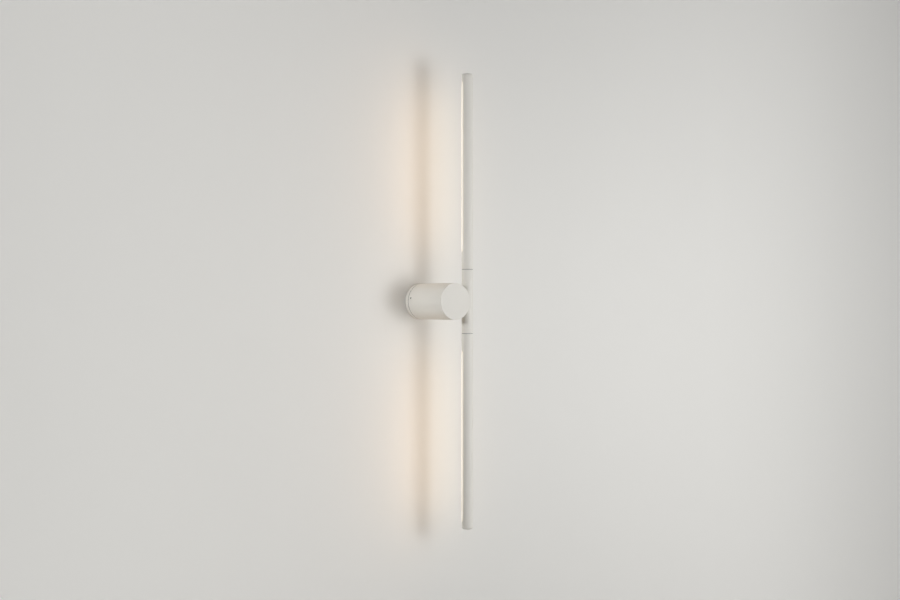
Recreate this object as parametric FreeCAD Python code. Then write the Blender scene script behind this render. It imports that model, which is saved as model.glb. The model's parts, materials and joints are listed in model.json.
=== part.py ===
import FreeCAD, Part
import math
import os

# Tube wall light: a round hub on a wall base carries a slim tube with two turning LED arms.
# The wall is the plane Y = 0, the room lies on its -Y side, +Z is up, and the origin is on
# the hub's axis at the wall. "Depth" is a distance in front of the wall: depth d is Y = -d.
# Each arm is drawn about its own axis with its slot facing the wall, and is then turned and
# moved to the tube's place. All sizes are in millimetres.

# ---- outside shape
hub_radius = 40.0
hub_depth = 129.5  # wall to the hub's front face
tube_radius = 12.5
tube_wall = 2.0
arm_length = 429.0
sleeve_length = 140.0
seam_gap = 1.0  # between the sleeve and each arm
seam_edge_break = 0.3  # small bevel on the tube's edges beside each seam
tube_sink = 6.0  # how deep the tube sits in the hub's side
tube_set_back = 5.0  # the tube's front behind the hub's front face
slot_turn_deg = 45.0  # the arms' slots at rest, turned from the wall towards -X

# ---- clearances
fit_gap = 0.05  # radial, between pieces fixed to each other
run_gap = 0.06  # radial, a spindle in its bearing
face_gap = 0.2  # axial, between faces that turn past each other
saddle_gap = 0.1  # the sleeve in the hub's saddle
lens_gap = 0.12  # a diffuser in its slot
lead_end_gap = 0.3  # between two lead ends that turn past each other
stop_gap_deg = 1.0  # left between a stop pin and its stop at the end of travel

# ---- wall base
base_thickness = 10.0
base_rim_wall = 4.0
base_web = 4.0
base_edge_round = 0.6
hub_groove = 1.0  # open groove between base and hub
spigot_radius = 15.0
spigot_bore_radius = 10.0
bracket_thickness = 2.0
bracket_edge_gap = 2.0
bracket_cable_radius = 9.0
wall_slot_spacing = 50.0
wall_slot_width = 5.0
wall_slot_length = 9.0
base_circle_inset = 16.0  # from the hub's outside in to the circle of the base's screws and pin
flange_screw_radius = 2.0
screw_boss_radius = 4.5
flange_head_radius = 3.8
flange_head_height = 2.2
flange_driver_slot = 1.0  # width of the slot in the screw's head
grommet_bore_radius = 5.5
grommet_flange_radius = 12.0
grommet_flange = 1.5
grommet_neck = 4.5

# ---- swivel between base and hub
ring_rim_wall = 6.0
ring_back_gap = 1.5  # base front to the ring's rim
ring_rim_length = 15.5
ring_web = 5.0
bush_wall = 2.0
bush_flange = 1.0
bush_flange_radius = 20.0
friction_washer = 1.0
friction_washer_radius = 20.0
circlip_thickness = 1.2
circlip_radius = 18.0
circlip_groove = 1.2
spigot_tail = 1.5  # spigot beyond its circlip
hub_pin_radius = 2.0
hub_pin_length = 10.0  # out of the base
hub_pin_angle_deg = -45.0
hub_stop_width = 4.0
hub_stop_back_gap = 4.0  # base front to the stop rib
hub_stop_inner_gap = 0.5  # the rib's inner end outside the bush's flange
grub_radius = 2.0
grub_depth = 18.7  # the grub screws' distance from the wall
grub_angles_deg = (169.0, 289.0, 49.0)
grub_recess = 0.8
grub_length = 6.2
grub_socket_radius = 1.15
grub_socket_depth = 2.5

# ---- hub shell
cup_wall = 3.0
cup_front = 4.0
cup_edge_round = 0.5
pad_thickness = 12.0  # from the hub's outside in to the pad's flat
pad_half_depth = 18.0

# ---- cross nipple that carries the tube
nipple_radius = 5.0
nipple_bore_radius = 3.2
nipple_tail = 3.0
nut_across_flats = 14.0
nut_thickness = 4.0
nut_washer = 1.0
nut_washer_radius = 8.5
tee_half_length = 20.0
tee_bore_radius = 4.0

# ---- driver, tray and terminals
tray_rise = 15.0  # tray's top face above the inside of the hub shell
tray_thickness = 1.2
tray_edge_gap = 2.15  # the tray's long edges from the inside of the hub shell
tray_washer_gap = 1.5  # round the swivel's friction washer
tray_length = 81.0
tray_tab_width = 36.0
tray_tab_drop = 8.2
tray_screw_spacing = 20.0
tray_screw_drop = 4.0  # below the tray's underside
small_screw_radius = 1.5
small_head_radius = 2.8
small_head_height = 1.8
tray_screw_grip = 4.5
driver_start = 53.0
driver_length = 44.0
driver_width = 36.0
driver_height = 20.0
driver_edge_round = 1.5
driver_ear = 6.0
driver_ear_thickness = 2.0
terminal_start = 34.0
terminal_length = 13.0
terminal_width = 24.0
terminal_height = 12.0
terminal_poles = 3
terminal_pitch = 7.0
terminal_hole_radius = 1.8
terminal_screw_radius = 1.5
terminal_screw_depth = 5.0
terminal_screw_recess = 0.5
terminal_slot_width = 0.6
terminal_slot_depth = 1.0
earth_edge_gap = 7.0  # earth stud from the tray's long edge
earth_depth = 41.0
earth_stud_radius = 2.0
earth_stud_height = 8.0
earth_nut_flats = 7.0
earth_nut_height = 3.2
earth_washer_radius = 4.6
earth_washer = 0.8

# ---- leads inside the hub and the tube
lead_radius = 1.5
feed_radius = 1.2
feed_spacing = 7.0
feed_rise = 7.0  # above the tray
output_x = -12.0
output_rise = 14.0  # above the tray
output_bend_x = 4.0
bend_share = 0.45  # of the shorter run, taken by each bend
splice_radius = 3.4
splice_half_length = 8.0
splice_flat = 2.4

# ---- spindles and end plugs of the sleeve
spindle_radius = 5.0
spindle_bore_radius = 2.2
sleeve_plug_length = 18.0
seam_washer = 0.8
seam_washer_inset = 0.5  # the washer's edge inside the tube's surface
arm_plug_length = 20.0
arm_washer = 0.8
arm_washer_radius = 8.0
arm_circlip = 1.2
arm_circlip_radius = 7.6
arm_circlip_groove = 0.7
spindle_tail = 1.5
arm_pin_radius = 0.8
arm_pin_orbit = 7.8
arm_pin_angle_deg = 90.0
arm_pin_seat = 5.0
arm_pin_reach = 2.0  # into the arm plug's groove
arm_groove_depth = 2.5
arm_groove_side_gap = 0.25
arm_travel_deg = 165.0  # each way from the slot facing the wall
clip_mouth_width = 3.0

# ---- arms
slot_half_width = 9.5
slot_inner_margin = 35.0
slot_outer_margin = 14.0
lens_leg = 1.0  # thickness of the diffuser's legs, inside the tube's wall
lens_leg_drop = 2.6
cap_thickness = 6.0
cap_edge_round = 4.5
cap_spigot = 5.0
carrier_start = 27.0
carrier_end_gap = 1.0
carrier_level = -4.0  # carrier's flat face, from the tube's axis
carrier_groove_width = 5.0
carrier_groove_depth = 2.0
board_width = 12.0
board_thickness = 1.0
board_inset = 1.0
board_screw_radius = 1.0
board_screw_head_radius = 1.9
board_screw_head = 0.9
board_screw_depth = 3.0
board_screw_side = 4.0
connector_start = 33.0
connector_width = 6.0
connector_offset = -1.0  # towards the side away from the board's screw
connector_length = 9.0
connector_height = 4.6
chip_pitch = 7.5
chip_width = 3.0
chip_length = 2.8
chip_height = 0.7
chip_start = 46.0
chip_end_margin = 18.0

# ---- worked out from the sizes above
tube_x = hub_radius + tube_radius - tube_sink
tube_depth = hub_depth - tube_set_back - tube_radius
tube_bore_radius = tube_radius - tube_wall
sleeve_end = sleeve_length / 2
arm_start = sleeve_end + seam_gap
base_web_back = base_thickness - base_web
cup_back = base_thickness + hub_groove
cup_inner_radius = hub_radius - cup_wall
cup_front_inside = hub_depth - cup_front
base_circle = hub_radius - base_circle_inset
bracket_radius = hub_radius - base_rim_wall - bracket_edge_gap
ring_radius = cup_inner_radius - fit_gap
ring_bore_radius = spigot_radius + run_gap + bush_wall
ring_back = base_thickness + ring_back_gap
ring_front = ring_back + ring_rim_length
ring_web_back = ring_front - ring_web
hub_washer_back = ring_front + face_gap
circlip_back = hub_washer_back + friction_washer
spigot_end = circlip_back + circlip_thickness + spigot_tail
hub_stop_inner_radius = bush_flange_radius + hub_stop_inner_gap
pad_face = hub_radius - pad_thickness
tray_level = tray_rise - cup_inner_radius
tray_underside = tray_level - tray_thickness
tray_width = 2 * math.sqrt((cup_inner_radius - tray_edge_gap) ** 2 - tray_underside ** 2)
tray_screw_level = tray_underside - tray_screw_drop
earth_x = tray_width / 2 - earth_edge_gap
plug_radius = tube_bore_radius - fit_gap
arm_washer_start = arm_start + arm_plug_length + face_gap
arm_circlip_start = arm_washer_start + arm_washer
spindle_end = arm_circlip_start + arm_circlip + spindle_tail
cap_start = arm_length - cap_thickness
lens_leg_radius = plug_radius - lens_gap
lens_inner_radius = lens_leg_radius - lens_leg
slot_floor = math.sqrt(tube_radius ** 2 - slot_half_width ** 2)
slot_start = arm_start + slot_inner_margin + slot_half_width
slot_stop = arm_start + arm_length - slot_outer_margin - slot_half_width
carrier_from = arm_start + carrier_start
carrier_to = arm_start + cap_start - cap_spigot - carrier_end_gap
board_top = carrier_level + board_thickness
past = 1.0  # how far a cutting shape runs past what it cuts


def axis_post(radius, low, high, x=0.0, y=0.0):
    """A cylinder along Z."""
    return Part.makeCylinder(radius, high - low, FreeCAD.Vector(x, y, low))


def axis_ring(outer, inner, low, high, x=0.0, y=0.0):
    """A tube along Z."""
    hole = axis_post(inner, low - past, high + past, x, y)
    return axis_post(outer, low, high, x, y).cut(hole)


def drum(radius, near, far, x=0.0, z=0.0):
    """A cylinder that runs out from the wall, from depth near to depth far."""
    start = FreeCAD.Vector(x, -near, z)
    return Part.makeCylinder(radius, far - near, start, FreeCAD.Vector(0, -1, 0))


def drum_ring(outer, inner, near, far, x=0.0, z=0.0):
    """A tube that runs out from the wall."""
    return drum(outer, near, far, x, z).cut(drum(inner, near - past, far + past, x, z))


def cross_rod(radius, left, right, depth, z=0.0):
    """A cylinder along X at the given depth."""
    start = FreeCAD.Vector(left, -depth, z)
    return Part.makeCylinder(radius, right - left, start, FreeCAD.Vector(1, 0, 0))


def box(x_span, y_span, z_span):
    """A box between the low and high value of each span."""
    size = [high - low for low, high in (x_span, y_span, z_span)]
    corner = FreeCAD.Vector(x_span[0], y_span[0], z_span[0])
    return Part.makeBox(size[0], size[1], size[2], corner)


def deep_box(x_span, near, far, z_span):
    """A box from depth near to depth far."""
    return box(x_span, (-far, -near), z_span)


def middle(width, centre=0.0):
    """The span of this width about a centre."""
    return (centre - width / 2, centre + width / 2)


def hexagon(flats, thickness, base, direction):
    """A six-sided prism, such as a nut without its bore."""
    side_radius = flats / math.sqrt(3)
    corners = []
    for step in range(7):
        angle = math.radians(60 * step)
        corner = FreeCAD.Vector(side_radius * math.cos(angle), side_radius * math.sin(angle), 0)
        corners.append(corner)
    prism = Part.Face(Part.makePolygon(corners)).extrude(FreeCAD.Vector(0, 0, thickness))
    turn = FreeCAD.Rotation(FreeCAD.Vector(0, 0, 1), direction)
    prism.Placement = FreeCAD.Placement(base, turn)
    return prism


def on_hub_circle(radius, angle_deg):
    """X and Z of a point at this angle from +X about the hub's axis."""
    angle = math.radians(angle_deg)
    return radius * math.cos(angle), radius * math.sin(angle)


def round_edges(shape, radius):
    """The round edges of this radius."""
    circles = [edge for edge in shape.Edges if isinstance(edge.Curve, Part.Circle)]
    return [edge for edge in circles if math.isclose(edge.Curve.Radius, radius)]


def edges_at_depth(shape, radius, depth):
    """The round edges of this radius at this distance from the wall."""
    edges = round_edges(shape, radius)
    return [edge for edge in edges if math.isclose(edge.Curve.Center.y, -depth)]


def bent_rod(radius, points):
    """A round lead along straight runs joined by tangent arcs."""
    edges = []
    start = points[0]
    for before, corner, after in zip(points, points[1:], points[2:]):
        back = before - corner
        ahead = after - corner
        reach = bend_share * min(back.Length, ahead.Length)
        back.normalize()
        ahead.normalize()
        bend_in = corner + back * reach
        bend_out = corner + ahead * reach
        half_turn = (math.pi - back.getAngle(ahead)) / 2
        bend_radius = reach / math.tan(half_turn)
        inward = (back + ahead).normalize()
        depth = bend_radius / math.cos(half_turn) - bend_radius
        edges.append(Part.LineSegment(start, bend_in).toShape())
        edges.append(Part.Arc(bend_in, corner + inward * depth, bend_out).toShape())
        start = bend_out
        print("lead bend radius", round(bend_radius, 2))
    edges.append(Part.LineSegment(start, points[-1]).toShape())
    path = Part.Wire(edges)
    first_run = points[1] - points[0]
    section = Part.Wire(Part.makeCircle(radius, points[0], first_run))
    rod = path.makePipeShell([section], True, False)
    plain_volume = math.pi * radius ** 2 * path.Length
    print("lead volume against section times length", round(rod.Volume / plain_volume, 4))
    return rod


def wall_bracket():
    """Steel plate that is screwed to the wall, with two bosses for the base's screws."""
    plate = drum(bracket_radius, 0, bracket_thickness)
    plate = plate.cut(drum(bracket_cable_radius, -past, bracket_thickness + past))
    for side in (-1, 1):
        boss = drum(screw_boss_radius, 0, base_web_back, 0, side * base_circle)
        plate = plate.fuse(boss)
    thread_radius = flange_screw_radius + fit_gap
    for side in (-1, 1):
        thread = drum(thread_radius, -past, base_web_back + past, 0, side * base_circle)
        plate = plate.cut(thread)
        plate = plate.cut(wall_slot(side * wall_slot_spacing / 2))
    return plate.removeSplitter()


def wall_slot(centre):
    """The cutting shape of one slotted hole for a wall screw."""
    half_run = (wall_slot_length - wall_slot_width) / 2
    near, far = -past, bracket_thickness + past
    slot = deep_box(middle(2 * half_run, centre), near, far, middle(wall_slot_width))
    for side in (-1, 1):
        slot = slot.fuse(drum(wall_slot_width / 2, near, far, centre + side * half_run))
    return slot


def base_flange():
    """White base with its hollow spigot, which the hub turns on."""
    body = drum(hub_radius, 0, base_thickness)
    body = body.makeFillet(base_edge_round, edges_at_depth(body, hub_radius, base_thickness))
    body = body.cut(drum(hub_radius - base_rim_wall, -past, base_web_back))
    body = body.fuse(drum(spigot_radius, base_web_back, spigot_end))
    groove_inner = spigot_radius - circlip_groove
    groove = drum_ring(spigot_radius + past, groove_inner, circlip_back, circlip_back + circlip_thickness)
    body = body.cut(groove)
    body = body.cut(drum(spigot_bore_radius, -past, spigot_end + past))
    near, far = base_web_back - past, base_thickness + past
    for side in (-1, 1):
        hole = drum(flange_screw_radius + fit_gap, near, far, 0, side * base_circle)
        body = body.cut(hole)
    pin_x, pin_z = on_hub_circle(base_circle, hub_pin_angle_deg)
    body = body.cut(drum(hub_pin_radius + fit_gap, near, far, pin_x, pin_z))
    return body.removeSplitter()


def flange_screws():
    """Two screws that hold the base on the wall bracket."""
    screws = []
    head_top = base_thickness + flange_head_height
    slot_bottom = base_thickness + flange_head_height / 2
    for side in (-1, 1):
        z = side * base_circle
        shank = drum(flange_screw_radius, bracket_thickness, base_thickness, 0, z)
        head = drum(flange_head_radius, base_thickness, head_top, 0, z)
        slot_span = middle(2 * flange_head_radius)
        slot = deep_box(slot_span, slot_bottom, head_top + past, middle(flange_driver_slot, z))
        screws.append(shank.fuse(head).cut(slot))
    return Part.makeCompound(screws)


def cable_grommet():
    """Rubber grommet in the base, which the supply cable comes through."""
    flange_back = base_web_back - grommet_flange
    flange = drum(grommet_flange_radius, flange_back, base_web_back)
    neck = drum(spigot_bore_radius - fit_gap, base_web_back, base_web_back + grommet_neck)
    bore = drum(grommet_bore_radius, flange_back - past, base_web_back + grommet_neck + past)
    return flange.fuse(neck).cut(bore).removeSplitter()


def hub_stop_pin():
    """Pin in the base that ends the hub's turn."""
    x, z = on_hub_circle(base_circle, hub_pin_angle_deg)
    return drum(hub_pin_radius, base_web_back, base_thickness + hub_pin_length, x, z)


def hub_friction_washer():
    """Spring steel washer that keeps the hub where it is turned to."""
    inner = spigot_radius + run_gap
    return drum_ring(friction_washer_radius, inner, hub_washer_back, circlip_back)


def hub_circlip():
    """Circlip in the spigot's groove."""
    inner = spigot_radius - circlip_groove + fit_gap
    clip = drum_ring(circlip_radius, inner, circlip_back, circlip_back + circlip_thickness)
    mouth_span = (0, circlip_radius + past)
    mouth = deep_box(mouth_span, circlip_back - past, spigot_end, middle(2 * clip_mouth_width))
    return clip.cut(mouth)


def swivel_ring():
    """Aluminium ring inside the hub's back, which turns on the base's spigot."""
    ring = drum(ring_radius, ring_back, ring_front)
    ring = ring.cut(drum(ring_radius - ring_rim_wall, ring_back - past, ring_web_back))
    ring = ring.fuse(stop_rib())
    ring = ring.cut(drum(ring_bore_radius + fit_gap, ring_back - past, ring_front + past))
    for angle in grub_angles_deg:
        ring = ring.cut(grub_rod(grub_radius + fit_gap, angle, hub_radius - grub_recess - grub_length))
    thread_radius = small_screw_radius + fit_gap
    for side in (-1, 1):
        x = side * tray_screw_spacing / 2
        ring = ring.cut(drum(thread_radius, ring_web_back - past, ring_front + past, x, tray_screw_level))
    return ring.removeSplitter()


def stop_rib():
    """Rib across the ring's inside, opposite the base's stop pin."""
    outer = ring_radius - ring_rim_wall / 2
    near, far = base_thickness + hub_stop_back_gap, ring_web_back + ring_web / 2
    rib = deep_box((hub_stop_inner_radius, outer), near, far, middle(hub_stop_width))
    rib.rotate(FreeCAD.Vector(0, 0, 0), FreeCAD.Vector(0, 1, 0), -(hub_pin_angle_deg + 180))
    return rib


def spigot_bush():
    """Nylon bush between the ring and the spigot."""
    inner = spigot_radius + run_gap
    sleeve = drum_ring(ring_bore_radius, inner, ring_web_back - bush_flange, ring_front)
    flange = drum_ring(bush_flange_radius, inner, ring_web_back - bush_flange, ring_web_back)
    return sleeve.fuse(flange).removeSplitter()


def grub_rod(radius, angle_deg, inner, outer=None):
    """A rod that points at the hub's axis at the grub screws' depth."""
    outer = hub_radius + past if outer is None else outer
    x, z = on_hub_circle(1.0, angle_deg)
    outward = FreeCAD.Vector(x, 0, z)
    start = outward * inner + FreeCAD.Vector(0, -grub_depth, 0)
    return Part.makeCylinder(radius, outer - inner, start, outward)


def grub_screws():
    """Socket screws that fix the hub shell to the swivel ring."""
    outer = hub_radius - grub_recess
    screws = []
    for angle in grub_angles_deg:
        screw = grub_rod(grub_radius, angle, outer - grub_length, outer)
        x, z = on_hub_circle(1.0, angle)
        outward = FreeCAD.Vector(x, 0, z)
        floor = outward * (outer - grub_socket_depth) + FreeCAD.Vector(0, -grub_depth, 0)
        socket_flats = grub_socket_radius * math.sqrt(3)
        socket = hexagon(socket_flats, grub_socket_depth + past, floor, outward)
        screws.append(screw.cut(socket))
    return Part.makeCompound(screws)


def tube_line(radius, low, high):
    """A cylinder on the tube's axis."""
    return axis_post(radius, low, high, tube_x, -tube_depth)


def hub_cup():
    """White hub shell, closed at the front, with a saddle for the tube in its side."""
    shell = drum(hub_radius, cup_back, hub_depth)
    shell = shell.makeFillet(cup_edge_round, edges_at_depth(shell, hub_radius, hub_depth))
    hollow = drum(cup_inner_radius, cup_back - past, cup_front_inside)
    pad_back = tube_depth - pad_half_depth
    pad = deep_box((pad_face, hub_radius), pad_back, hub_depth, middle(2 * hub_radius))
    shell = shell.cut(hollow.cut(pad))
    shell = shell.cut(tube_line(tube_radius + saddle_gap, -hub_radius, hub_radius))
    shell = shell.cut(cross_rod(nipple_radius + saddle_gap, pad_face - past, hub_radius, tube_depth))
    for angle in grub_angles_deg:
        shell = shell.cut(grub_rod(grub_radius + fit_gap, angle, cup_inner_radius - past))
    return shell.removeSplitter()


def cross_nipple():
    """Hollow threaded nipple that clamps the tube in the saddle and carries the lead."""
    left = pad_face - nut_washer - nut_thickness - nipple_tail
    right = tube_x - tee_bore_radius
    nipple = cross_rod(nipple_radius, left, right, tube_depth)
    return nipple.cut(cross_rod(nipple_bore_radius, left - past, right + past, tube_depth))


def nipple_nut():
    right = pad_face - nut_washer
    base = FreeCAD.Vector(right - nut_thickness, -tube_depth, 0)
    nut = hexagon(nut_across_flats, nut_thickness, base, FreeCAD.Vector(1, 0, 0))
    hole = cross_rod(nipple_radius + fit_gap, right - nut_thickness - past, right + past, tube_depth)
    return nut.cut(hole)


def nipple_washer():
    left = pad_face - nut_washer
    washer = cross_rod(nut_washer_radius, left, pad_face, tube_depth)
    return washer.cut(cross_rod(nipple_radius + fit_gap, left - past, pad_face + past, tube_depth))


def centre_sleeve():
    """White middle piece of the tube, held in the hub's saddle."""
    sleeve = tube_line(tube_radius, -sleeve_end, sleeve_end)
    sleeve = sleeve.makeChamfer(seam_edge_break, round_edges(sleeve, tube_radius))
    sleeve = sleeve.cut(tube_line(tube_bore_radius, -sleeve_end - past, sleeve_end + past))
    hole = cross_rod(nipple_radius + fit_gap, tube_x - tube_radius - past, tube_x, tube_depth)
    return sleeve.cut(hole)


def tee_block():
    """Block inside the sleeve that the nipple screws into."""
    block = tube_line(plug_radius, -tee_half_length, tee_half_length)
    block = block.cut(tube_line(tee_bore_radius, -tee_half_length - past, tee_half_length + past))
    hole = cross_rod(nipple_radius + fit_gap, tube_x - tube_radius, tube_x, tube_depth)
    return block.cut(hole)


def driver_tray():
    """Bent steel tray for the driver, screwed to the swivel ring."""
    low = tray_underside
    plate = deep_box(middle(tray_width), ring_front, ring_front + tray_length, (low, tray_level))
    tab_front = ring_front + tray_thickness
    through = (low - past, tray_level + past)
    corner_cut_width = (tray_width - tray_tab_width) / 2
    for side in (-1, 1):
        centre = side * (tray_tab_width + corner_cut_width) / 2
        notch = deep_box(middle(corner_cut_width, centre), ring_front - past, tab_front, through)
        plate = plate.cut(notch)
    tab = deep_box(middle(tray_tab_width), ring_front, tab_front, (low - tray_tab_drop, tray_level))
    tray = plate.fuse(tab)
    # clears the swivel's end where a narrow hub brings the tray close to it
    tray = tray.cut(drum(friction_washer_radius + tray_washer_gap, ring_front - past, spigot_end + past))
    hole_radius = small_screw_radius + fit_gap
    for side in (-1, 1):
        x = side * tray_screw_spacing / 2
        tray = tray.cut(drum(hole_radius, ring_front - past, tab_front + past, x, tray_screw_level))
    for x, depth in driver_screw_places():
        tray = tray.cut(axis_post(hole_radius, *through, x, -depth))
    tray = tray.cut(axis_post(earth_stud_radius + fit_gap, *through, earth_x, -earth_depth))
    return tray.removeSplitter()


def driver_screw_places():
    """X and depth of the driver's four screws."""
    depths = (driver_start - driver_ear / 2, driver_start + driver_length + driver_ear / 2)
    sides = (-driver_width / 4, driver_width / 4)
    return [(x, depth) for depth in depths for x in sides]


def tray_screws():
    """Two screws through the tray's tab into the swivel ring."""
    screws = []
    for side in (-1, 1):
        x = side * tray_screw_spacing / 2
        face = ring_front + tray_thickness
        shank = drum(small_screw_radius, ring_front - tray_screw_grip, face, x, tray_screw_level)
        head = drum(small_head_radius, face, face + small_head_height, x, tray_screw_level)
        screws.append(shank.fuse(head))
    return Part.makeCompound(screws)


def led_driver():
    """Driver box with a screw ear at each end."""
    top = tray_level + driver_height
    body = deep_box(middle(driver_width), driver_start, driver_start + driver_length, (tray_level, top))
    upright = [edge for edge in body.Edges if edge.BoundBox.ZLength > driver_height / 2]
    body = body.makeFillet(driver_edge_round, upright)
    near = driver_start - driver_ear
    far = driver_start + driver_length + driver_ear
    ears = deep_box(middle(driver_width), near, far, (tray_level, tray_level + driver_ear_thickness))
    driver = body.fuse(ears)
    hole_low, hole_high = tray_level - past, tray_level + driver_ear_thickness + past
    for x, depth in driver_screw_places():
        driver = driver.cut(axis_post(small_screw_radius + fit_gap, hole_low, hole_high, x, -depth))
    return driver.removeSplitter()


def driver_screws():
    screws = []
    for x, depth in driver_screw_places():
        seat = tray_level + driver_ear_thickness
        shank = axis_post(small_screw_radius, tray_underside, seat, x, -depth)
        head = axis_post(small_head_radius, seat, seat + small_head_height, x, -depth)
        screws.append(shank.fuse(head))
    return Part.makeCompound(screws)


def terminal_x(pole):
    """X of one pole of the terminal block."""
    return (pole - (terminal_poles - 1) / 2) * terminal_pitch


def terminal_block():
    """Three-pole terminal block that the supply cable ends in."""
    far = terminal_start + terminal_length
    half_way = terminal_start + terminal_length / 2
    top = tray_level + terminal_height
    screw_floor = top - terminal_screw_depth - terminal_screw_recess
    block = deep_box(middle(terminal_width), terminal_start, far, (tray_level, top))
    for pole in range(terminal_poles):
        x = terminal_x(pole)
        entry_z = tray_level + feed_rise
        block = block.cut(drum(terminal_hole_radius, terminal_start - past, half_way, x, entry_z))
        block = block.cut(axis_post(terminal_screw_radius + fit_gap, screw_floor, top + past, x, -half_way))
    return block


def terminal_screws():
    """Slotted clamp screws of the terminal block."""
    screws = []
    top = tray_level + terminal_height - terminal_screw_recess
    y = -(terminal_start + terminal_length / 2)
    for pole in range(terminal_poles):
        x = terminal_x(pole)
        screw = axis_post(terminal_screw_radius, top - terminal_screw_depth, top, x, y)
        slot_span = middle(4 * terminal_screw_radius, x)
        slot_depth = (top - terminal_slot_depth, top + past)
        screws.append(screw.cut(box(slot_span, middle(terminal_slot_width, y), slot_depth)))
    return Part.makeCompound(screws)


def earth_terminal():
    """Earth stud with its washer and nut on the tray."""
    base = FreeCAD.Vector(earth_x, -earth_depth, tray_level + earth_washer)
    stud_top = tray_level + earth_stud_height
    stud = axis_post(earth_stud_radius, tray_underside, stud_top, earth_x, -earth_depth)
    washer = axis_post(earth_washer_radius, tray_level, tray_level + earth_washer, earth_x, -earth_depth)
    nut = hexagon(earth_nut_flats, earth_nut_height, base, FreeCAD.Vector(0, 0, 1))
    return stud.fuse(washer).fuse(nut).removeSplitter()


def feed_leads():
    """Two short leads from the terminal block to the driver."""
    leads = []
    for side in (-1, 1):
        x = side * feed_spacing / 2
        near = terminal_start + terminal_length
        leads.append(drum(feed_radius, near, driver_start, x, tray_level + feed_rise))
    return Part.makeCompound(leads)


def output_lead():
    """Lead from the driver through the nipple to the splice inside the sleeve."""
    driver_face = driver_start + driver_length
    start_z = tray_level + output_rise
    points = [
        FreeCAD.Vector(output_x, -driver_face, start_z),
        FreeCAD.Vector(output_x, -tube_depth, start_z),
        FreeCAD.Vector(output_bend_x, -tube_depth, 0),
        FreeCAD.Vector(tube_x - splice_flat, -tube_depth, 0),
    ]
    return bent_rod(lead_radius, points)


def lead_splice():
    """Splice on the tube's axis, where the lead divides for the two arms."""
    splice = tube_line(splice_radius, -splice_half_length, splice_half_length)
    off_x = (tube_x - 2 * splice_radius, tube_x - splice_flat)
    off = box(off_x, middle(4 * splice_radius, -tube_depth), middle(4 * splice_half_length))
    return splice.cut(off)


# ---- pieces drawn on the tube's axis, above the hub; the lower ones are mirrored


def sleeve_plug():
    """Plug in the sleeve's end that holds the spindle."""
    plug = axis_ring(plug_radius, spindle_radius + fit_gap, sleeve_end - sleeve_plug_length, sleeve_end)
    x, y = arm_pin_place()
    return plug.cut(axis_post(arm_pin_radius + fit_gap, sleeve_end - arm_pin_seat, sleeve_end + past, x, y))


def arm_pin_place():
    """Place of the stop pin, fixed with the hub: on the wall side when the slot is too."""
    angle = math.radians(arm_pin_angle_deg)
    return arm_pin_orbit * math.cos(angle), arm_pin_orbit * math.sin(angle)


def spindle():
    """Hollow spindle that the arm turns on."""
    rod = axis_ring(spindle_radius, spindle_bore_radius, sleeve_end - sleeve_plug_length, spindle_end)
    floor_radius = spindle_radius - arm_circlip_groove
    far = arm_circlip_start + arm_circlip
    return rod.cut(axis_ring(spindle_radius + past, floor_radius, arm_circlip_start, far))


def seam_washer_disc():
    """Black washer that shows as the dark seam beside the arm."""
    outer = tube_radius - seam_washer_inset
    washer = axis_ring(outer, spindle_radius + fit_gap, sleeve_end, sleeve_end + seam_washer)
    x, y = arm_pin_place()
    return washer.cut(axis_post(arm_pin_radius + fit_gap, sleeve_end - past, arm_start, x, y))


def arm_friction_washer():
    """Washer that keeps the arm where it is turned to."""
    return axis_ring(arm_washer_radius, spindle_radius + fit_gap, arm_washer_start, arm_circlip_start)


def spindle_circlip():
    """Circlip that keeps the arm on its spindle."""
    inner = spindle_radius - arm_circlip_groove + fit_gap
    clip = axis_ring(arm_circlip_radius, inner, arm_circlip_start, arm_circlip_start + arm_circlip)
    mouth_z = (arm_circlip_start - past, arm_circlip_start + arm_circlip + past)
    return clip.cut(box((0, arm_circlip_radius + past), middle(clip_mouth_width), mouth_z))


def arm_stop_pin():
    """Pin that ends the arm's turn."""
    x, y = arm_pin_place()
    return axis_post(arm_pin_radius, sleeve_end - arm_pin_seat, arm_start + arm_pin_reach, x, y)


def branch_lead():
    """Lead from the splice up the hollow spindle."""
    return axis_post(lead_radius, splice_half_length, spindle_end)


def slot_shape(margin, floor):
    """The slot's outline as a solid above floor, drawn in by margin."""
    half_width = slot_half_width - margin
    outline = box((-half_width, half_width), (floor, tube_radius + past), (slot_start, slot_stop))
    for end in (slot_start, slot_stop):
        start = FreeCAD.Vector(0, floor, end)
        rounded = Part.makeCylinder(half_width, tube_radius + past - floor, start, FreeCAD.Vector(0, 1, 0))
        outline = outline.fuse(rounded)
    return outline


def arm_tube():
    """White arm tube with its long round-ended slot."""
    tube = axis_ring(tube_radius, tube_bore_radius, arm_start, arm_start + cap_start)
    outer_edges = round_edges(tube, tube_radius)
    inner_end = [edge for edge in outer_edges if math.isclose(edge.Curve.Center.z, arm_start)]
    tube = tube.makeChamfer(seam_edge_break, inner_end)
    return tube.cut(slot_shape(0, slot_floor)).removeSplitter()


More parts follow.
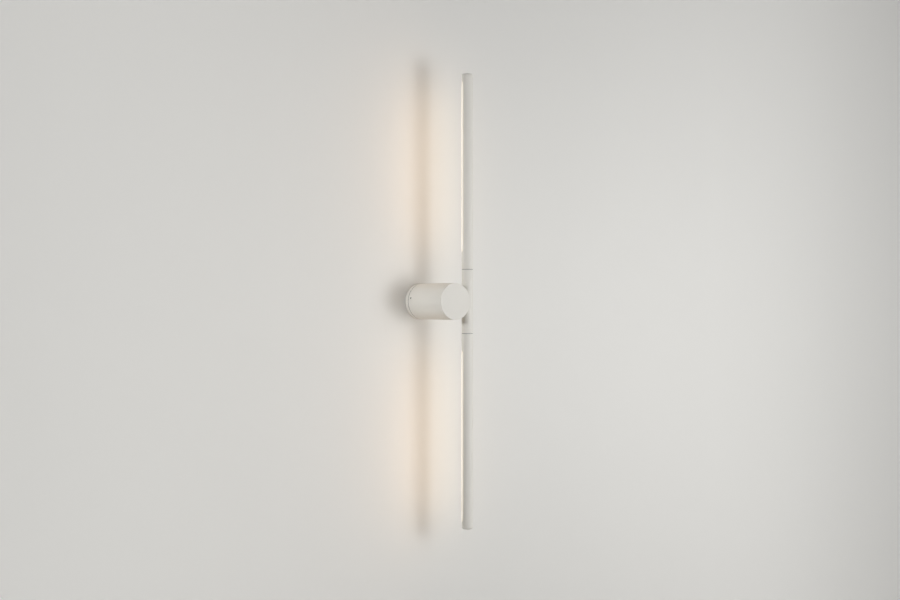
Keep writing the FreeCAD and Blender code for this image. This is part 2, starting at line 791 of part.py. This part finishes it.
def arm_plug():
    """Bearing plug in the arm's end, with the groove that the stop pin runs in."""
    plug = axis_ring(plug_radius, spindle_radius + run_gap, arm_start, arm_start + arm_plug_length)
    half_pin = math.degrees(math.asin(arm_pin_radius / arm_pin_orbit))
    half_sweep = arm_travel_deg + half_pin + stop_gap_deg
    outer = arm_pin_orbit + arm_pin_radius + arm_groove_side_gap
    inner = arm_pin_orbit - arm_pin_radius - arm_groove_side_gap
    low = arm_start - past
    height = arm_groove_depth + past
    up = FreeCAD.Vector(0, 0, 1)
    corner = FreeCAD.Vector(0, 0, low)
    sector = Part.makeCylinder(outer, height, corner, up, 2 * half_sweep)
    groove = sector.cut(axis_post(inner, low - past, low + height + past))
    # the groove is centred on the pin when the slot faces the wall
    groove.rotate(corner, up, arm_pin_angle_deg - half_sweep)
    return plug.cut(groove)


def diffuser():
    """Opal cover, flush with the tube, with a leg along each side of the slot."""
    whole = axis_ring(tube_radius, lens_inner_radius, slot_start - tube_radius, slot_stop + tube_radius)
    cover = whole.common(slot_shape(lens_gap, slot_floor + lens_gap))
    legs = axis_ring(lens_leg_radius, lens_inner_radius, slot_start, slot_stop)
    leg_band = (slot_floor - lens_leg_drop, tube_radius)
    legs = legs.common(box(middle(2 * tube_radius), leg_band, (slot_start, slot_stop)))
    return cover.fuse(legs).removeSplitter()


def end_cap():
    """Rounded cap that closes the arm's far end."""
    low = arm_start + cap_start
    high = arm_start + arm_length
    cap = axis_post(tube_radius, low, high)
    rim = [edge for edge in cap.Edges if edge.BoundBox.ZMin > low + past]
    cap = cap.makeFillet(cap_edge_round, rim)
    return cap.fuse(axis_post(plug_radius, low - cap_spigot, low)).removeSplitter()


def led_carrier():
    """Aluminium bar behind the LED board, which takes its heat to the tube."""
    bar = axis_post(plug_radius, carrier_from, carrier_to)
    whole_length = (carrier_from - past, carrier_to + past)
    bar = bar.cut(box(middle(2 * tube_radius), (carrier_level, tube_radius), whole_length))
    groove_y = (-tube_radius, -plug_radius + carrier_groove_depth)
    bar = bar.cut(box(middle(carrier_groove_width), groove_y, whole_length))
    for x, z in board_screw_places():
        bar = bar.cut(board_screw_rod(board_screw_radius + fit_gap, x, z, carrier_level + past))
    return bar


def board_screw_places():
    """X and Z of the board's screws, one near each end."""
    return [
        (board_screw_side, connector_start + connector_length / 2 + arm_start),
        (0, carrier_to - board_inset - 2 * board_screw_head_radius),
    ]


def board_screw_rod(radius, x, z, top):
    """A rod into the carrier from above the board."""
    floor = carrier_level - board_screw_depth
    start = FreeCAD.Vector(x, floor, z)
    return Part.makeCylinder(radius, top - floor, start, FreeCAD.Vector(0, 1, 0))


def led_board():
    """White circuit board on the carrier."""
    z_span = (carrier_from + board_inset, carrier_to - board_inset)
    board = box(middle(board_width), (carrier_level, board_top), z_span)
    for x, z in board_screw_places():
        board = board.cut(board_screw_rod(board_screw_radius + fit_gap, x, z, board_top + past))
    return board


def board_screws():
    screws = []
    for x, z in board_screw_places():
        shank = board_screw_rod(board_screw_radius, x, z, board_top)
        start = FreeCAD.Vector(x, board_top, z)
        head = Part.makeCylinder(board_screw_head_radius, board_screw_head, start, FreeCAD.Vector(0, 1, 0))
        screws.append(shank.fuse(head))
    return Part.makeCompound(screws)


def board_connector():
    """Plug-in connector on the board, which the arm's lead ends in."""
    low = arm_start + connector_start
    width = middle(connector_width, connector_offset)
    return box(width, (board_top, board_top + connector_height), (low, low + connector_length))


def arm_lead():
    """Lead from the spindle's mouth to the board's connector."""
    return axis_post(lead_radius, spindle_end + lead_end_gap, arm_start + connector_start)


def led_chips():
    """Row of LED packages along the board."""
    first = arm_start + chip_start
    last = carrier_to - chip_end_margin
    count = int((last - first) / chip_pitch) + 1
    chips = []
    for step in range(count):
        z_span = middle(chip_length, first + step * chip_pitch)
        chips.append(box(middle(chip_width), (board_top, board_top + chip_height), z_span))
    return Part.makeCompound(chips)


def put_on_tube(shape, lower, turn_deg=0.0):
    """Moves a piece drawn about the Z axis to the tube, mirrored downwards for the lower side."""
    placed = shape.copy()
    if lower:
        placed = placed.mirror(FreeCAD.Vector(0, 0, 0), FreeCAD.Vector(0, 0, 1))
    placed.rotate(FreeCAD.Vector(0, 0, 0), FreeCAD.Vector(0, 0, 1), turn_deg)
    placed.translate(FreeCAD.Vector(tube_x, -tube_depth, 0))
    return placed


base_and_hub_pieces = {
    "wall_bracket": wall_bracket,
    "base_flange": base_flange,
    "flange_screws": flange_screws,
    "cable_grommet": cable_grommet,
    "hub_stop_pin": hub_stop_pin,
    "hub_friction_washer": hub_friction_washer,
    "hub_circlip": hub_circlip,
    "swivel_ring": swivel_ring,
    "spigot_bush": spigot_bush,
    "grub_screws": grub_screws,
    "hub_cup": hub_cup,
    "cross_nipple": cross_nipple,
    "nipple_nut": nipple_nut,
    "nipple_washer": nipple_washer,
    "centre_sleeve": centre_sleeve,
    "tee_block": tee_block,
    "driver_tray": driver_tray,
    "tray_screws": tray_screws,
    "led_driver": led_driver,
    "driver_screws": driver_screws,
    "terminal_block": terminal_block,
    "terminal_screws": terminal_screws,
    "earth_terminal": earth_terminal,
    "feed_leads": feed_leads,
    "output_lead": output_lead,
    "lead_splice": lead_splice,
}

# pieces of the sleeve's ends, which stay with the hub
sleeve_end_pieces = {
    "sleeve_plug": sleeve_plug,
    "spindle": spindle,
    "seam_washer": seam_washer_disc,
    "arm_friction_washer": arm_friction_washer,
    "spindle_circlip": spindle_circlip,
    "arm_stop_pin": arm_stop_pin,
    "branch_lead": branch_lead,
}

# pieces that turn with an arm
arm_pieces = {
    "arm_tube": arm_tube,
    "arm_plug": arm_plug,
    "diffuser": diffuser,
    "end_cap": end_cap,
    "led_carrier": led_carrier,
    "led_board": led_board,
    "board_screws": board_screws,
    "board_connector": board_connector,
    "arm_lead": arm_lead,
    "led_chips": led_chips,
}


def build_all():
    """Every piece by its name, in its place."""
    shapes = {}
    for name, make in base_and_hub_pieces.items():
        shapes[name] = make()
    for side, lower in (("upper", False), ("lower", True)):
        for name, make in sleeve_end_pieces.items():
            shapes[side + "_" + name] = put_on_tube(make(), lower)
        for name, make in arm_pieces.items():
            shapes[side + "_" + name] = put_on_tube(make(), lower, slot_turn_deg)
    return shapes


os.makedirs("parts", exist_ok=True)
for name, shape in build_all().items():
    shape.exportStep("parts/" + name + ".step")
    print(name, len(shape.Solids), "solids, valid", shape.isValid(), "volume", round(shape.Volume))
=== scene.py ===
import json
import math

import bpy
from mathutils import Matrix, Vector


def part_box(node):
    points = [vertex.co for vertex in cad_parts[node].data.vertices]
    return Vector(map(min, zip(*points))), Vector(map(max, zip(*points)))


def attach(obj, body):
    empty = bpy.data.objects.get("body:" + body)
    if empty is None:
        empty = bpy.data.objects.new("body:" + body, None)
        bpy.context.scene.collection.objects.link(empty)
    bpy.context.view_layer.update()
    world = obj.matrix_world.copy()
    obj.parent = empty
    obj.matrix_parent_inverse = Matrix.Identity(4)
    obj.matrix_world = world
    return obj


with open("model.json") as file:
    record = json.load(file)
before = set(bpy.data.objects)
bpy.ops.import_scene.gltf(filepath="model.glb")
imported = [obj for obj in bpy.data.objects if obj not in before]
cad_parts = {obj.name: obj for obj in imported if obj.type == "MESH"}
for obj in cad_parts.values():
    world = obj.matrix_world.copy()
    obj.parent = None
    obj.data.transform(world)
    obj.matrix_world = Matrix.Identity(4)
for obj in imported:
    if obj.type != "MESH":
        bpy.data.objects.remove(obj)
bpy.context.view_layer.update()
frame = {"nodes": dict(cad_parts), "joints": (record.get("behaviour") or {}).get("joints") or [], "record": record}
nodes = frame["nodes"]

# ---- sizes, in metres, from the frame
joints = {joint["name"]: joint for joint in frame["joints"]}
arm_axis = Vector(joints["upper_arm_turn"]["pos_m"])
lens_low, lens_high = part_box("upper_diffuser")
chips_low, chips_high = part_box("upper_led_chips")
hub_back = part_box("hub_cup")[1].y

# ---- sizes in metres that the frame doesn't give
slot_turn = math.radians(45)  # the slots at rest, from the wall towards -X
chip_pitch = 0.0075
groove_width = 0.001  # between the base and the hub
# a dark ring in the groove between the base and the hub, painted shade for the groove's shadow
shade_ring_radii = (0.0372, 0.0399)  # inner and outer
shade_ring_height = 0.0009
shade_ring_sink = 0.0001  # how far it sits in the base
shade_ring_bevel = 0.0002  # on its front edges
shade_ring_steps = 128

# ---- camera, fitted to the photograph's outline of the hub and the tube
camera_distance = 3.40
camera_azimuth = math.radians(-37.42)
camera_yaw = math.radians(-0.516)
camera_height = 0.0032
camera_aim_depth = 0.060  # the camera circles this point on the hub's axis
focal_pixels = 1541.6
frame_width = 900
sensor_width = 36.0

# ---- colours, linear
coat_colour = (0.784, 0.762, 0.710)
opal_colour = (0.86, 0.83, 0.77)
led_colour = (1.0, 0.86, 0.68)
led_strength = 0.48
wall_colour = (0.785, 0.777, 0.750)
floor_colour = (0.62, 0.61, 0.59)
backdrop_colour = (0.80, 0.795, 0.775)
floor_paleness = (0.45, 0.445, 0.43)

# ---- the wall's painted light, shown to the camera only: a brightness that is least a little to the right of the light, rising smoothly to each side.
# Each side has what is added there, and the X where that starts and where it is full.
painted_light_tint = (1.0, 0.99, 0.955)
least_painted_light = 0.056
left_painted_light, left_start, left_end = 0.264, 0.25, -1.1
right_painted_light, right_start, right_end = 0.17, 0.25, 1.4

# ---- stage
stage_reach = 5.0
wall_top = 3.0
floor_level = -1.25
wall_gap = 0.0005  # keeps the wall's face off the bracket's

# ---- lamps: name, place in metres, side in metres, power in watts.
# The powers, and the colours of the lamps along a diffuser, were fitted to the photograph's tones
# and then set one by one.
lamp_target = Vector((0.0, -0.05, 0.0))
room_lamps = (
    ("key", (0.877, -2.3, -0.16), 0.8, 13.3),
    ("front", (0.4, -1.4, 0.0), 0.5, 2.8),
    ("front_wide", (0.4, -1.5, 0.0), 1.3, 7.9),
    ("right", (1.9, -1.6, 0.3), 1.6, 2.3),
    ("top", (0.1, -1.0, 1.7), 1.0, 3.0),
    ("low", (0.2, -1.2, -1.0), 0.8, 0.3),
    ("left", (-1.1, 0.14, 0.22), 0.25, 6.3),
    ("back_right", (1.6, 1.2, 0.4), 1.2, 1.5),
)

# ---- lamps along a diffuser: name, turn from its middle, power in watts, colour
beam_radius = 0.0127
beam_width = 0.012
lens_beams = (
    ("inner_beam", math.radians(-35), 0.067, (1.0, 0.71, 0.42)),
    ("outer_beam", math.radians(35), 0.065, (1.0, 0.45, 0.05)),
)

# ---- where a lens is lit: fades past its ends, and from its middle towards its edges
end_overrun = 0.004
chip_margin = 0.008
end_level = 0.35
edge_facing, full_facing = 0.62, 0.95  # cosines to the lens's middle
edge_level = 0.2
wave_scale = 20  # a wave texture of scale 1 has this many radians to a metre


def seen_only(tree):
    """An output that is 1 for rays that show a surface, directly or in a reflection, and 0 for light."""
    path = tree.nodes.new("ShaderNodeLightPath")
    seen = path.outputs["Is Camera Ray"]
    for other in ("Is Glossy Ray", "Is Transmission Ray"):
        either = tree.nodes.new("ShaderNodeMath")
        either.operation = "MAXIMUM"
        tree.links.new(seen, either.inputs[0])
        tree.links.new(path.outputs[other], either.inputs[1])
        seen = either.outputs[0]
    return seen


class Surface:
    """A procedural material under construction: a Principled shader and the nodes that feed it."""

    def __init__(self, name):
        self.material = bpy.data.materials.new(name + "_finish")
        self.material.use_nodes = True
        self.tree = self.material.node_tree
        self.shader = self.tree.nodes["Principled BSDF"]
        self.coordinates = self.node("ShaderNodeTexCoord").outputs["Object"]

    def node(self, kind, **settings):
        made = self.tree.nodes.new(kind)
        for name, value in settings.items():
            setattr(made, name, value)
        return made

    def link(self, source, target):
        self.tree.links.new(source, target)

    def fixed(self, socket, value):
        """A plain value on the shader's own socket."""
        self.shader.inputs[socket].default_value = value

    def stretched(self, scale):
        """Object coordinates, scaled differently along each axis."""
        mapping = self.node("ShaderNodeMapping")
        mapping.inputs["Scale"].default_value = scale
        self.link(self.coordinates, mapping.inputs["Vector"])
        return mapping.outputs["Vector"]

    def noise(self, scale, detail=2.0, along=None):
        """A noise between 0 and 1 with features of about 1 / scale metres."""
        texture = self.node("ShaderNodeTexNoise")
        texture.inputs["Scale"].default_value = scale
        texture.inputs["Detail"].default_value = detail
        self.link(along or self.coordinates, texture.inputs["Vector"])
        return texture.outputs["Fac"]

    def between(self, factor, low, high):
        """Maps a factor between 0 and 1 to the range low to high."""
        return self.ramp(factor, 0, 1, low, high)

    def maths(self, operation, first, second):
        """One arithmetic step between an output and an output or a number."""
        step = self.node("ShaderNodeMath", operation=operation)
        self.link(first, step.inputs[0])
        if isinstance(second, (int, float)):
            step.inputs[1].default_value = second
        else:
            self.link(second, step.inputs[1])
        return step.outputs[0]

    def colour(self, factor, dark, light, socket="Base Color"):
        """A colour between dark and light by the factor, to a socket of the shader."""
        mix = self.node("ShaderNodeMix", data_type="RGBA")
        mix.inputs["A"].default_value = (*dark, 1)
        mix.inputs["B"].default_value = (*light, 1)
        self.link(factor, mix.inputs["Factor"])
        self.link(mix.outputs["Result"], self.shader.inputs[socket])

    def roughness(self, factor, low, high):
        self.link(self.between(factor, low, high), self.shader.inputs["Roughness"])

    def shown_only(self):
        """Makes the shader's emission one that only shows and lights nothing."""
        self.link(seen_only(self.tree), self.shader.inputs["Emission Strength"])

    def ramp(self, value, start, end, low, high, shape="LINEAR"):
        """Runs from low where the value is start to high where it is end, and stays within them."""
        ranged = self.node("ShaderNodeMapRange", interpolation_type=shape)
        for socket, number in (("From Min", start), ("From Max", end), ("To Min", low), ("To Max", high)):
            ranged.inputs[socket].default_value = number
        self.link(value, ranged.inputs["Value"])
        return ranged.outputs["Result"]

    def place(self, axis):
        """The object coordinate along X, Y or Z."""
        split = self.node("ShaderNodeSeparateXYZ")
        self.link(self.coordinates, split.inputs["Vector"])
        return split.outputs[axis]

    def bump(self, *layers):
        """Bump from (height, depth in metres) layers, the last one on top."""
        normal = None
        for height, depth in layers:
            bump = self.node("ShaderNodeBump")
            bump.inputs["Strength"].default_value = 1.0
            bump.inputs["Distance"].default_value = depth
            self.link(height, bump.inputs["Height"])
            if normal:
                self.link(normal, bump.inputs["Normal"])
            normal = bump.outputs["Normal"]
        self.link(normal, self.shader.inputs["Normal"])


def tinted(colour, factor):
    return tuple(channel * factor for channel in colour)


def powder_coat():
    """Fine matt powder coat: a little orange peel, a finer grain and slight clouding."""
    coat = Surface("white_coat")
    clouds = coat.noise(14, 3)
    grain = coat.noise(2600, 2)
    peel = coat.noise(520, 1)
    mottling = coat.maths("ADD", coat.maths("MULTIPLY", clouds, 0.6), coat.maths("MULTIPLY", grain, 0.4))
    coat.colour(mottling, tinted(coat_colour, 0.965), tinted(coat_colour, 1.035))
    coat.roughness(coat.noise(90, 2), 0.46, 0.56)
    coat.fixed("Specular IOR Level", 0.36)
    coat.bump((peel, 0.00003), (grain, 0.000012))
    return coat.material


def opal_lens():
    """Satin opal cover lit from behind, dimmer past the last LEDs and towards its edges."""
    lens = Surface("opal")
    height = lens.maths("ABSOLUTE", lens.place("Z"), 0.0)
    dark_low, lit_low = lens_low.z - end_overrun, chips_low.z + chip_margin
    dark_high, lit_high = lens_high.z + end_overrun, chips_high.z - chip_margin
    inner = lens.ramp(height, dark_low, lit_low, end_level, 1, "SMOOTHSTEP")
    outer = lens.ramp(height, dark_high, lit_high, end_level, 1, "SMOOTHSTEP")
    facing = lens.node("ShaderNodeVectorMath", operation="DOT_PRODUCT")
    facing.inputs[1].default_value = (-math.sin(slot_turn), math.cos(slot_turn), 0)
    lens.link(lens.tree.nodes["Texture Coordinate"].outputs["Normal"], facing.inputs[0])
    across = lens.ramp(facing.outputs["Value"], edge_facing, full_facing, edge_level, 1, "SMOOTHSTEP")
    chips = lens.node("ShaderNodeTexWave", bands_direction="Z")
    chips.inputs["Scale"].default_value = math.tau / wave_scale / chip_pitch
    lens.link(lens.coordinates, chips.inputs["Vector"])
    dots = lens.between(chips.outputs["Fac"], 0.97, 1.03)
    strength = inner
    for factor in (outer, across, dots, led_strength):
        strength = lens.maths("MULTIPLY", strength, factor)
    lens.link(strength, lens.shader.inputs["Emission Strength"])
    lens.colour(lens.noise(60, 2), tinted(led_colour, 0.98), led_colour, "Emission Color")
    lens.colour(lens.noise(300, 2), tinted(opal_colour, 0.97), opal_colour)
    lens.roughness(lens.noise(700, 2), 0.30, 0.42)
    lens.bump((lens.noise(1800, 1), 0.00001))
    return lens.material


def plain_plastic(name, colour, rough=(0.4, 0.55), grain_depth=0.00002):
    """Moulded plastic or rubber with a fine texture and slight mottling."""
    plastic = Surface(name)
    plastic.colour(plastic.noise(180, 3), tinted(colour, 0.93), tinted(colour, 1.05))
    plastic.roughness(plastic.noise(700, 2), *rough)
    plastic.bump((plastic.noise(1500, 2), grain_depth))
    return plastic.material


def turned_metal(name, colour, rough=(0.22, 0.38), stretch=(1, 1, 60), dark=0.86):
    """Bare metal with fine tool marks, stretched square to the direction of the cut."""
    metal = Surface(name)
    marks = metal.noise(140, 3, metal.stretched(stretch))
    blotches = metal.noise(60, 3)
    metal.colour(marks, tinted(colour, dark), colour)
    metal.roughness(metal.maths("MULTIPLY", metal.maths("ADD", marks, blotches), 0.5), *rough)
    metal.fixed("Metallic", 1.0)
    metal.bump((marks, 0.00001))
    return metal.material


def zinc_sheet(name, colour):
    """Zinc plating with its faint crystal pattern."""
    zinc = Surface(name)
    crystals = zinc.node("ShaderNodeTexVoronoi")
    crystals.inputs["Scale"].default_value = 220
    zinc.link(zinc.coordinates, crystals.inputs["Vector"])
    pattern = zinc.node("ShaderNodeSeparateColor")
    zinc.link(crystals.outputs["Color"], pattern.inputs["Color"])
    zinc.colour(pattern.outputs["Red"], tinted(colour, 0.88), tinted(colour, 1.04))
    zinc.roughness(pattern.outputs["Green"], 0.28, 0.42)
    zinc.fixed("Metallic", 1.0)
    zinc.bump((zinc.noise(900, 2), 0.000008))
    return zinc.material


def led_package():
    """Phosphor face of an LED package, lit."""
    led = Surface("led_package")
    led.colour(led.noise(900, 2), (0.86, 0.66, 0.22), (0.95, 0.78, 0.34))
    led.roughness(led.noise(1200, 1), 0.2, 0.35)
    led.colour(led.noise(500, 1), tinted(led_colour, 0.96), led_colour, "Emission Color")
    led.fixed("Emission Strength", led_strength)
    led.bump((led.noise(2500, 1), 0.000005))
    return led.material


def finishes():
    """One material for each of the record's slots."""
    return {
        "white_coat": powder_coat(),
        "opal": opal_lens(),
        "black_washer": plain_plastic("black_washer", (0.022, 0.021, 0.020)),
        "black_screws": plain_plastic("black_screws", (0.020, 0.020, 0.021), (0.3, 0.45), 0.00001),
        "zinc_plate": zinc_sheet("zinc_plate", (0.62, 0.63, 0.64)),
        "zinc_screws": turned_metal("zinc_screws", (0.66, 0.67, 0.68)),
        "steel_pin": turned_metal("steel_pin", (0.58, 0.58, 0.59), (0.18, 0.3)),
        "spring_steel": turned_metal("spring_steel", (0.30, 0.30, 0.31), (0.3, 0.42)),
        "bare_aluminium": turned_metal("bare_aluminium", (0.77, 0.78, 0.79)),
        "brass": turned_metal("brass", (0.78, 0.62, 0.30), (0.2, 0.34)),
        "nylon": plain_plastic("nylon", (0.82, 0.80, 0.73), (0.35, 0.5)),
        "black_rubber": plain_plastic("black_rubber", (0.028, 0.027, 0.027), (0.6, 0.75)),
        "driver_case": plain_plastic("driver_case", (0.80, 0.80, 0.785)),
        "white_lead": plain_plastic("white_lead", (0.80, 0.80, 0.785), (0.3, 0.42)),
        "board_white": plain_plastic("board_white", (0.82, 0.82, 0.80), (0.18, 0.3)),
        "led_package": led_package(),
    }


def dress(looks):
    """Gives every CAD node the finish of its slot."""
    for part in frame["record"]["subparts"]:
        mesh = nodes[part["node"]].data
        for index in range(len(mesh.materials)):
            mesh.materials[index] = looks[part["material_slot"]]


def groove_shade_ring(finish):
    """Thin dark ring on the base that nearly fills the groove between the base and the hub: painted shade,
    standing in for the shadow deep in the groove.
    """
    base_front = hub_back + groove_width
    inner, outer = shade_ring_radii
    front, back = base_front - shade_ring_height, base_front + shade_ring_sink
    profile = (
        (inner, back),
        (inner, front + shade_ring_bevel),
        (inner + shade_ring_bevel, front),
        (outer - shade_ring_bevel, front),
        (outer, front + shade_ring_bevel),
        (outer, back),
    )
    turns = [math.tau * step / shade_ring_steps for step in range(shade_ring_steps)]
    points = []
    for turn in turns:
        points += [(radius * math.cos(turn), y, radius * math.sin(turn)) for radius, y in profile]
    faces = []
    for step in range(shade_ring_steps):
        here, after = step * len(profile), (step + 1) % shade_ring_steps * len(profile)
        for corner in range(len(profile)):
            beside = (corner + 1) % len(profile)
            faces.append((here + corner, after + corner, after + beside, here + beside))
    mesh = bpy.data.meshes.new("groove_shade_ring")
    mesh.from_pydata(points, [], faces)
    mesh.materials.append(finish)
    shade_ring = bpy.data.objects.new("groove_shade_ring", mesh)
    bpy.context.scene.collection.objects.link(shade_ring)
    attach(shade_ring, "base")


def sheet_object(name, corners, material):
    """One flat four-cornered face for the stage."""
    mesh = bpy.data.meshes.new(name)
    mesh.from_pydata(corners, [], [range(4)])
    mesh.materials.append(material)
    made = bpy.data.objects.new(name, mesh)
    bpy.context.scene.collection.objects.link(made)


def wall_with_painted_light():
    """Matt wall paint on the room's side, with a painted light across it that only the camera sees. From behind,
    and for lamps behind it, the wall is clear.
    """
    wall = Surface("wall_paint_with_painted_light")
    wall.colour(wall.noise(3, 3), tinted(wall_colour, 0.992), tinted(wall_colour, 1.008))
    wall.roughness(wall.noise(40, 2), 0.85, 0.95)
    wall.bump((wall.noise(220, 3), 0.00012))
    wall.shown_only()
    # painted light: the wall brighter towards each side, emitted only for rays that show the wall
    across = wall.place("X")
    most = least_painted_light + left_painted_light
    left = wall.ramp(across, left_start, left_end, least_painted_light, most, "SMOOTHSTEP")
    right = wall.ramp(across, right_start, right_end, 0, right_painted_light, "SMOOTHSTEP")
    black = (0, 0, 0)
    wall.colour(wall.maths("ADD", left, right), black, painted_light_tint, "Emission Color")
    clear = wall.node("ShaderNodeBsdfTransparent")
    side = wall.node("ShaderNodeNewGeometry").outputs["Backfacing"]
    shadow = wall.node("ShaderNodeLightPath").outputs["Is Shadow Ray"]
    mix = wall.node("ShaderNodeMixShader")
    wall.link(wall.maths("MAXIMUM", side, shadow), mix.inputs["Fac"])
    wall.link(wall.shader.outputs["BSDF"], mix.inputs[1])
    wall.link(clear.outputs["BSDF"], mix.inputs[2])
    wall.link(mix.outputs["Shader"], wall.tree.nodes["Material Output"].inputs["Surface"])
    return wall.material


def floor_paint():
    """Plain pale floor paint."""
    floor = Surface("floor_paint")
    floor.colour(floor.noise(2, 3), tinted(floor_colour, 0.985), tinted(floor_colour, 1.015))
    floor.roughness(floor.noise(30, 2), 0.7, 0.85)
    floor.bump((floor.noise(150, 2), 0.0001))
    floor.shown_only()
    dark, light = tinted(floor_paleness, 0.985), tinted(floor_paleness, 1.015)
    floor.colour(floor.noise(3, 3), dark, light, "Emission Color")
    return floor.material


def build_stage():
    """The wall that the light hangs on, and a floor below the main view."""
    wall_corners = [
        (-stage_reach, wall_gap, floor_level),
        (stage_reach, wall_gap, floor_level),
        (stage_reach, wall_gap, wall_top),
        (-stage_reach, wall_gap, wall_top),
    ]
    sheet_object("wall", wall_corners, wall_with_painted_light())
    floor_corners = [
        (-stage_reach, -stage_reach, floor_level),
        (stage_reach, -stage_reach, floor_level),
        (stage_reach, stage_reach, floor_level),
        (-stage_reach, stage_reach, floor_level),
    ]
    sheet_object("floor", floor_corners, floor_paint())


def area_lamp(name, place, size, power, colour=(1, 1, 1), ahead=None):
    """A rectangular soft lamp that the camera doesn't see. It points ahead, or else at the target."""
    data = bpy.data.lights.new(name, "AREA")
    data.shape = "RECTANGLE"
    data.size, data.size_y = size
    data.energy = power
    data.color = colour
    lamp = bpy.data.objects.new(name, data)
    lamp.location = place
    lamp.rotation_mode = "QUATERNION"
    lamp.rotation_quaternion = (ahead or lamp_target - Vector(place)).to_track_quat("-Z", "Y")
    lamp.visible_camera = False
    bpy.context.scene.collection.objects.link(lamp)
    return lamp


def build_lens_beams():
    """Lamps on each diffuser's curve that carry its light to the wall. They turn with the arms."""
    for body in ("upper_arm", "lower_arm"):
        low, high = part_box(body.replace("arm", "diffuser"))
        length = high.z - low.z
        for name, turn, power, colour in lens_beams:
            angle = slot_turn + turn
            ahead = Vector((-math.sin(angle), math.cos(angle), 0))
            place = arm_axis + ahead * beam_radius
            place.z = (low.z + high.z) / 2
            lamp = area_lamp(f"{body}_{name}", place, (beam_width, length), power, colour, ahead)
            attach(lamp, body)


def build_lights():
    """Soft lamps on the room's side, two behind the wall's plane, and the lamps on the lenses."""
    for name, place, size, power in room_lamps:
        area_lamp(name, place, (size, size), power)
    build_lens_beams()


def build_world():
    """A pale surround that only shows."""
    world = bpy.data.worlds.new("studio")
    world.use_nodes = True
    shade = world.node_tree.nodes["Background"]
    shade.inputs["Color"].default_value = (*backdrop_colour, 1)
    world.node_tree.links.new(seen_only(world.node_tree), shade.inputs["Strength"])
    bpy.context.scene.world = world


def build_camera():
    data = bpy.data.cameras.new("camera")
    data.sensor_width = sensor_width
    data.lens = focal_pixels / frame_width * sensor_width
    camera = bpy.data.objects.new("camera", data)
    across = math.sin(camera_azimuth) * camera_distance
    out = -math.cos(camera_azimuth) * camera_distance - camera_aim_depth
    camera.location = (across, out, camera_height)
    turn = camera_azimuth + camera_yaw
    ahead = Vector((-math.sin(turn), math.cos(turn), 0))
    camera.rotation_mode = "QUATERNION"
    camera.rotation_quaternion = ahead.to_track_quat("-Z", "Y")
    bpy.context.scene.collection.objects.link(camera)
    bpy.context.scene.camera = camera


looks = finishes()
dress(looks)
# the groove's dark ring, in the black rubber finish, is painted shade
groove_shade_ring(looks["black_rubber"])
build_stage()
build_lights()
build_world()
build_camera()
bpy.context.scene.view_settings.view_transform = "Standard"
